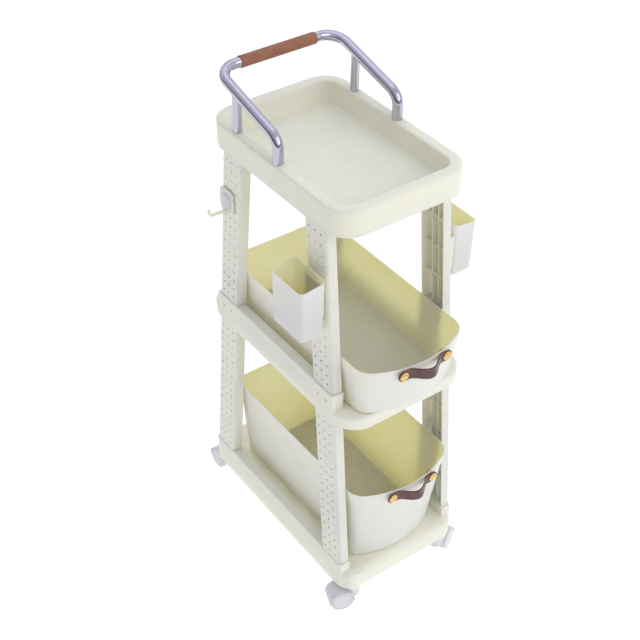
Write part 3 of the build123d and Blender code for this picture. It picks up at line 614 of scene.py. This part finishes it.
def strap_shape(sizes, box):
    """A flat leather strip, bowed outwards between its two riveted ends."""
    low, high = box
    half = high.x
    width = sizes.strap_width
    middle_z = (low.z + high.z) / 2
    bm = bmesh.new()
    place = Matrix.Translation((0, high.y, middle_z)) @ Matrix.Rotation(math.pi / 2, 4, "X")
    place = place @ Matrix.Diagonal((half, width / 2, 1, 1))
    grid = bmesh.ops.create_grid(bm, x_segments=1, y_segments=1, size=1, matrix=place)
    bmesh.ops.bevel(
        bm, geom=grid["verts"], offset=width * 0.47, offset_type="OFFSET", segments=8,
        profile=0.5, affect="VERTICES", material=-1,
    )
    cuts = 44
    for index in range(1, cuts):
        x = -half + 2 * half * index / cuts
        geom = bm.verts[:] + bm.edges[:] + bm.faces[:]
        bmesh.ops.bisect_plane(bm, geom=geom, plane_co=(x, 0, 0), plane_no=(1, 0, 0), dist=1e-6)
    for share in (-0.42, -0.2, 0, 0.2, 0.42):
        geom = bm.verts[:] + bm.edges[:] + bm.faces[:]
        cut = (0, 0, middle_z + share * width)
        bmesh.ops.bisect_plane(bm, geom=geom, plane_co=cut, plane_no=(0, 0, 1), dist=1e-6)
    bmesh.ops.recalc_face_normals(bm, faces=bm.faces)
    bmesh.ops.solidify(bm, geom=bm.faces[:], thickness=sizes.strap_thickness)
    bmesh.ops.recalc_face_normals(bm, faces=bm.faces)
    back = max(v.co.y for v in bm.verts)
    bmesh.ops.translate(bm, verts=bm.verts, vec=(0, high.y - back, 0))
    rim = [e for e in bm.edges if e.calc_face_angle(0) > math.radians(50)]
    bmesh.ops.bevel(
        bm, geom=rim, offset=0.7 * MM, offset_type="OFFSET", segments=2, profile=0.5,
        affect="EDGES", material=-1, clamp_overlap=True,
    )
    bow = (high.y - low.y) - sizes.strap_thickness
    flat = half - width
    for vert in bm.verts:
        x = vert.co.x
        if abs(x) < flat:
            share = (1 - (x / flat) ** 2) ** 2
            across = (vert.co.z - middle_z) / width
            vert.co.y -= bow * share * (0.965 - 0.05 * across)
            vert.co.z -= 0.9 * MM * share
    return bm


def rivet_shape(bm, centre, sizes, depth):
    """A domed head with a rolled edge on a shank."""
    r = sizes.rivet_radius
    dome = [(RIVET_HEAD * (1 - (i / 7) ** 2.4), r * 0.86 * i / 7) for i in range(8)]
    dome = [(max(height, 1.1 * MM), out) for height, out in dome]
    edge = [
        (1.35 * MM, r * 0.9), (1.5 * MM, r * 0.95), (1.1 * MM, r * 0.99), (0.5 * MM, r), (0, r * 0.97)
    ]
    shank = [(0, 2.4 * MM), (-depth, 2.4 * MM), (-depth, 0)]
    lathe(bm, dome + edge + shank, centre, (0, -1, 0), (1, 0, 0), 32)


class CART_OT_pulls(bpy.types.Operator):
    """Build the leather pulls and their brass rivets"""

    bl_idname = "cart.pulls"
    bl_label = "Leather pulls"

    def execute(self, context):
        sizes = context.scene.cart_sizes
        colours = context.scene.cart_colours
        for name in BIN_NAMES:
            body = f"{name}_bin_set"
            strap_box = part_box(f"{name}_strap")
            strap = new_piece(
                f"{name}_pull", strap_shape(sizes, strap_box), body, "brown_leather", f"{name}_strap"
            )
            dress(strap, "brown_leather", colours)
            low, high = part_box(f"{name}_rivets")
            rivet_x = high.x - sizes.rivet_radius
            base_y = low.y + RIVET_HEAD
            bm = bmesh.new()
            for side in SIDES:
                centre = (side * rivet_x, base_y, (low.z + high.z) / 2)
                rivet_shape(bm, centre, sizes, high.y - base_y)
            closed(bm)
            rivets = new_piece(f"{name}_pull_rivets", bm, body, "brass", f"{name}_rivets", smooth=50)
            dress(rivets, "brass", colours)
        return {"FINISHED"}


# ----------------------------------------------------------------- push bar


class CART_OT_grip(bpy.types.Operator):
    """Build the leather sleeve of the push bar with its stitched seam"""

    bl_idname = "cart.grip"
    bl_label = "Leather grip"

    def execute(self, context):
        low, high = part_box("handle_grip")
        centre = (low + high) / 2
        half = (high.x - low.x) / 2
        radius = (high.z - low.z) / 2
        bore = radius - 1.3 * MM
        end = [(half - 0.5 * MM, bore), (half, bore + 0.6 * MM), (half, radius - 1.0 * MM)]
        end += [(half - 0.4 * MM, radius - 0.3 * MM), (half - 1.2 * MM, radius)]
        body = [(half * share, radius - 0.12 * MM) for share in (0.8, 0.5, 0.2)]
        one = end + body
        points = [(-a, r) for a, r in one] + one[::-1]
        points.append(points[0])
        bm = bmesh.new()
        lathe(bm, points, centre, (1, 0, 0), (0, 0, 1), 48)
        closed(bm)
        count = 30
        for index in range(count):
            x = centre.x + (index - (count - 1) / 2) * 2 * (half - 4 * MM) / count
            for side in SIDES:
                place = Matrix.Translation((x, centre.y + side * 1.6 * MM, low.z + 0.35 * MM))
                place = place @ Matrix.Diagonal((1.5 * MM, 0.4 * MM, 0.35 * MM, 1))
                bmesh.ops.create_icosphere(bm, subdivisions=1, radius=1, matrix=place)
        grip = new_piece("push_bar_sleeve", bm, "frame", "tan_leather", "handle_grip")
        dress(grip, "tan_leather", context.scene.cart_colours)
        return {"FINISHED"}


# ------------------------------------------------------------ cups and hook


def cup_profile(sizes, bottom, rim):
    """Section of a cup: rounded foot, drafted wall, rolled rim, inner wall and floor."""
    slope = CUP_DRAFT
    wall = sizes.cup_wall
    foot = 4 * MM
    points = arc((rim - bottom) * slope + foot, bottom + foot, foot, 270, 181.6, 5)
    lip = wall / 2
    points += [(14 * MM * slope, rim - 14 * MM)]
    points += arc(lip, rim - lip, lip, 180, 0, 8)
    inner = foot - wall * 0.5
    floor = bottom + wall
    points += [(wall + 14 * MM * slope, rim - 14 * MM)]
    points += arc(wall + (rim - floor) * slope + inner, floor + inner, inner, 181.6, 270, 5)
    return points


def soft_block(bm, low, high, radius):
    """A block between two corners with soft edges."""
    place = Matrix.Translation((Vector(low) + Vector(high)) / 2)
    size = Vector(high) - Vector(low)
    place = place @ Matrix.Diagonal((size.x, size.y, size.z, 1))
    cube = bmesh.ops.create_cube(bm, size=1, matrix=place)
    edges = list({e for v in cube["verts"] for e in v.link_edges})
    bmesh.ops.bevel(
        bm, geom=edges, offset=radius, offset_type="OFFSET", segments=3, profile=0.5,
        affect="EDGES", material=-1,
    )


def post_middle_y(height):
    """Distance from the cross plane to the middle of a front or rear post at a height."""
    return POST_FOOT_Y - POST_LEAN_Y * height


def hanger(bm, side, height):
    """A cup's hanger: a soft block on the front post and four pegs in its holes."""
    near, far = sorted((side * HANGER_FACE_X, side * (CUP_FACE_X + 1 * MM)))
    middle = -post_middle_y(height)
    half_y, half_z = HANGER_HALF
    block_low = (near, middle - half_y, height - half_z)
    block_high = (far, middle + half_y, height + half_z)
    soft_block(bm, block_low, block_high, 1.2 * MM)
    for row in (height - HOLE_PITCH_Z, height + HOLE_PITCH_Z):
        for column in SIDES:
            y = -post_middle_y(row) + column * HOLE_PITCH_Y
            place = Matrix.Translation((side * 124.8 * MM, y, row))
            place = place @ Matrix.Rotation(side * math.pi / 2, 4, "Y")
            bmesh.ops.create_cone(
                bm, cap_ends=True, segments=20, radius1=2.1 * MM, radius2=2.4 * MM,
                depth=7.2 * MM, matrix=place,
            )


class CART_OT_cups(bpy.types.Operator):
    """Build the two hang-on cups with their hangers and pegs"""

    bl_idname = "cart.cups"
    bl_label = "Hang-on cups"

    def execute(self, context):
        sizes = context.scene.cart_sizes
        for name, (side, middle_y, hanger_z) in CUP_PLANS.items():
            low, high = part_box(f"{name}_cup")
            far = max(abs(low.x), abs(high.x))
            centre = (side * (far + CUP_FACE_X) / 2, middle_y)
            full = (far - CUP_FACE_X, CUP_LENGTH)
            bm = bmesh.new()

            def loop(inset, height):
                size = (full[0] - 2 * inset, full[1] - 2 * inset)
                corner = max(sizes.cup_corner - inset, 1.5 * MM)
                return rounded_loop(bm, centre, size, corner, height, 8)

            shell(bm, loop, cup_profile(sizes, low.z, high.z))
            reach = 30 * MM
            for vert in bm.verts:
                share = max(0, (vert.co.z - high.z + reach) / reach)
                vert.co.z -= sizes.cup_slant * share * (abs(vert.co.x) - CUP_FACE_X) / full[0]
            hanger(bm, side, hanger_z)
            bmesh.ops.recalc_face_normals(bm, faces=bm.faces)
            cup = new_piece(
                f"{name}_cup_moulding", bm, f"{name}_cup_set", "cup_plastic", f"{name}_cup"
            )
            # Inner faces take the inside finish: the cup plastic painted warmer as painted bounced
            # light
            dress(cup, "cup_plastic", context.scene.cart_colours, "inside")
        return {"FINISHED"}


def wall_plate(bm, x_face, thickness, centre, size, corner):
    """A rounded plate that stands off a face towards -X, with a soft front edge."""
    before = set(bm.verts)
    profile = [(0, 0), (0, 0.6), (0.15, 0.88), (0.4, 1)]
    profile = [(inset * thickness, rise * thickness) for inset, rise in profile]

    def loop(inset, rise):
        plan = (size[0] - 2 * inset, size[1] - 2 * inset)
        return rounded_loop(bm, (0, 0), plan, corner - inset, rise, 8)

    loops = loft(bm, loop, profile)
    cap(bm, loops[0])
    cap(bm, loops[-1])
    turn = Matrix(((0, 0, -1), (1, 0, 0), (0, 1, 0))).to_4x4()
    place = Matrix.Translation((x_face, centre[0], centre[1])) @ turn
    verts = [v for v in bm.verts if v not in before]
    bmesh.ops.transform(bm, matrix=place, verts=verts)


def hook_arm(points, radius):
    """A tapering round arm along a smooth line, as a mesh."""
    curve = bpy.data.curves.new("hook_line", "CURVE")
    curve.dimensions = "3D"
    curve.bevel_depth = radius
    curve.bevel_resolution = 5
    curve.use_fill_caps = True
    curve.resolution_u = 10
    spline = curve.splines.new("NURBS")
    spline.points.add(len(points) - 1)
    for point, (place, width) in zip(spline.points, points):
        point.co = (*place, 1)
        point.radius = width
    spline.order_u = 3
    spline.use_endpoint_u = True
    line = bpy.data.objects.new("hook_line", curve)
    mesh = bpy.data.meshes.new_from_object(line)
    bpy.data.objects.remove(line)
    return mesh


class CART_OT_hook(bpy.types.Operator):
    """Build the hang-on hook: plate, pad and upturned arm"""

    bl_idname = "cart.hook"
    bl_label = "Hook"

    def execute(self, context):
        sizes = context.scene.cart_sizes
        colours = context.scene.cart_colours
        plate_low, plate_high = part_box("hook_plate")
        hook_low, hook_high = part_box("hook")
        middle_y = (plate_low.y + plate_high.y) / 2
        face = plate_low.x + HOOK_PLATE
        centre = (middle_y, (plate_low.z + plate_high.z) / 2)
        bm = bmesh.new()
        size = (plate_high.y - plate_low.y, plate_high.z - plate_low.z)
        wall_plate(bm, face, HOOK_PLATE, centre, size, HOOK_CORNER)
        for column in (0, 1):
            y = post_middle_y(HOOK_PEG_Z) + column * HOLE_PITCH_Y
            place = Matrix.Translation((face + 3.4 * MM, y, HOOK_PEG_Z))
            place = place @ Matrix.Rotation(math.pi / 2, 4, "Y")
            bmesh.ops.create_cone(
                bm, cap_ends=True, segments=20, radius1=2.4 * MM, radius2=2.1 * MM,
                depth=7 * MM, matrix=place,
            )
        closed(bm)
        plate = new_piece("hook_back_plate", bm, "hook_set", "cup_plastic", "hook_plate")
        dress(plate, "cream_plastic", colours)
        bm = bmesh.new()
        pad_size = (hook_high.y - hook_low.y, hook_high.z - HOOK_PAD_FOOT_Z)
        pad_centre = (middle_y, (hook_high.z + HOOK_PAD_FOOT_Z) / 2)
        wall_plate(bm, plate_low.x, HOOK_PLATE, pad_centre, pad_size, HOOK_CORNER)
        y = middle_y
        wire = sizes.hook_wire
        tip_x = hook_low.x + wire * 0.95
        points = [
            ((plate_low.x - 1 * MM, y, 708.5 * MM), 1.25),
            ((plate_low.x - 8 * MM, y, 708.5 * MM), 1.05),
            ((tip_x + 15 * MM, y, 709.5 * MM), 1.0),
            ((tip_x + 3 * MM, y, 709.5 * MM), 1.0),
            ((tip_x - 0.5 * MM, y, 716 * MM), 0.95),
            ((tip_x, y, 721.5 * MM), 0.88),
            ((tip_x, y, 722.6 * MM), 0.5),
        ]
        bm.from_mesh(hook_arm(points, wire))
        closed(bm)
        hook = new_piece("hook_arm", bm, "hook_set", "cup_plastic", "hook")
        dress(hook, "cream_plastic", colours)
        return {"FINISHED"}


# ---------------------------------------------------------- carried-over nodes


class CART_OT_frame_finish(bpy.types.Operator):
    """Give every carried-over part its finish"""

    bl_idname = "cart.frame_finish"
    bl_label = "Frame finishes"

    def execute(self, context):
        slots = {part["node"]: part["material_slot"] for part in frame["record"]["subparts"]}
        for name, part in frame["nodes"].items():
            if name not in slots:
                raise RuntimeError(f"no finish is stated for {name}")
            dress(part, slots[name], context.scene.cart_colours)
        return {"FINISHED"}


# -------------------------------------------------------------------- stage


def add_light(name, place, target, size, watts, tint):
    """A large soft light aimed at a point."""
    light = bpy.data.lights.new(name, "AREA")
    light.shape = "RECTANGLE"
    light.size, light.size_y = size
    light.energy = watts
    light.color = tint
    lamp = bpy.data.objects.new(name, light)
    bpy.context.scene.collection.objects.link(lamp)
    lamp.location = place
    lamp.rotation_euler = (Vector(target) - Vector(place)).to_track_quat("-Z", "Y").to_euler()


def studio_world():
    """Soft light from all round: bright overhead, darker near the horizon and on the cart's left."""
    world = bpy.data.worlds.new("studio")
    bpy.context.scene.world = world
    world.use_nodes = True
    tree = world.node_tree
    tree.nodes.clear()
    where = node(tree, "ShaderNodeTexCoord").outputs["Generated"]
    split = node(tree, "ShaderNodeSeparateXYZ", inputs={"Vector": where})
    ramp = node(tree, "ShaderNodeValToRGB", inputs={"Fac": split.outputs["Z"]})
    stops = ramp.color_ramp
    stops.elements[0].position = 0.0
    stops.elements[0].color = (0.66, 0.67, 0.76, 1)
    stops.elements[1].position = 0.75
    stops.elements[1].color = (0.66, 0.67, 0.76, 1)
    low = stops.elements.new(0.1)
    low.color = (0.12, 0.12, 0.17, 1)
    high = stops.elements.new(0.22)
    high.color = (1.0, 1.01, 1.12, 1)
    tilted = node(
        tree, "ShaderNodeVectorMath", {"operation": "DOT_PRODUCT"}, {0: where, 1: (0.8, 0, 0.6)}
    ).outputs["Value"]
    inputs = {
        "Value": tilted,
        "From Min": -0.8,
        "From Max": 0.1,
        "To Min": 0.06,
        "To Max": 1.06,
    }
    side = node(tree, "ShaderNodeMapRange", inputs=inputs)
    inputs = {"Color": ramp.outputs["Color"], "Strength": side.outputs["Result"]}
    back = node(tree, "ShaderNodeBackground", inputs=inputs)
    node(tree, "ShaderNodeOutputWorld", inputs={"Surface": back.outputs["Background"]})


class CART_OT_stage(bpy.types.Operator):
    """Build the floor, the lights and the camera"""

    bl_idname = "cart.stage"
    bl_label = "Stage"

    def execute(self, context):
        scene = context.scene
        bm = bmesh.new()
        bmesh.ops.create_grid(bm, x_segments=1, y_segments=1, size=12)
        mesh = bpy.data.meshes.new("studio_floor")
        bm.to_mesh(mesh)
        bm.free()
        floor = bpy.data.objects.new("studio_floor", mesh)
        scene.collection.objects.link(floor)
        material, tree, where = fresh_material("matt_paper")
        fibre = noise(tree, where, 40, detail=3)
        base = scene.cart_colours.floor
        finish_material(
            tree,
            {
                "Base Color": tinted(tree, base, [c * 0.98 for c in base], fibre),
                "Roughness": 1.0,
                "IOR": 1.0,
                "Emission Color": (1, 1, 1, 1),
                "Emission Strength": 0.78,
            },
        )
        mesh.materials.append(material)
        studio_world()
        add_light("key_light", (0.7, -2.6, 2.6), (0, 0, 0.5), (2.4, 2.0), 16, (1.0, 1.0, 1.04))
        add_light("top_light", (0.4, 0.6, 3.0), (0, 0, 0.5), (2.0, 2.0), 6, (0.97, 0.98, 1.04))
        camera_data = bpy.data.cameras.new("camera")
        camera = bpy.data.objects.new("camera", camera_data)
        scene.collection.objects.link(camera)
        yaw, pitch, roll = map(math.radians, (CAMERA_YAW, CAMERA_PITCH, CAMERA_ROLL))
        ahead = Vector(
            (math.sin(yaw) * math.cos(pitch), math.cos(yaw) * math.cos(pitch), -math.sin(pitch))
        )
        level = Vector((math.cos(yaw), -math.sin(yaw), 0))
        upward = level.cross(ahead)
        right = level * math.cos(roll) + upward * math.sin(roll)
        above = upward * math.cos(roll) - level * math.sin(roll)
        turn = Matrix((right, above, -ahead)).transposed().to_4x4()
        camera.matrix_world = Matrix.Translation(CAMERA_PLACE) @ turn
        camera_data.lens = CAMERA_LENS
        camera_data.sensor_width = 36
        camera_data.shift_x, camera_data.shift_y = CAMERA_SHIFT
        scene.camera = camera
        scene.view_settings.view_transform = "Standard"
        return {"FINISHED"}


# -------------------------------------------------------------------- panel

OPERATORS = (
    CART_OT_frame_finish,
    CART_OT_top_tray,
    CART_OT_bins,
    CART_OT_pulls,
    CART_OT_grip,
    CART_OT_cups,
    CART_OT_hook,
    CART_OT_stage,
)


class CART_PT_panel(bpy.types.Panel):
    """Lists the cart's pieces"""

    bl_idname = "CART_PT_panel"
    bl_label = "Rolling pantry cart"
    bl_space_type = "VIEW_3D"
    bl_region_type = "UI"
    bl_category = "Cart"

    def draw(self, context):
        for operator in OPERATORS:
            self.layout.operator(operator.bl_idname)
        for group in (context.scene.cart_sizes, context.scene.cart_colours):
            for name in group.__annotations__:
                self.layout.prop(group, name)


CLASSES = (CartSizes, CartColours, *OPERATORS, CART_PT_panel)


def register():
    for cls in CLASSES:
        bpy.utils.register_class(cls)
    bpy.types.Scene.cart_sizes = bpy.props.PointerProperty(type=CartSizes)
    bpy.types.Scene.cart_colours = bpy.props.PointerProperty(type=CartColours)


def unregister():
    del bpy.types.Scene.cart_colours
    del bpy.types.Scene.cart_sizes
    for cls in reversed(CLASSES):
        bpy.utils.unregister_class(cls)


def main():
    register()
    for operator in OPERATORS:
        group, name = operator.bl_idname.split(".")
        getattr(getattr(bpy.ops, group), name)()


if __name__ == "__main__":
    main()
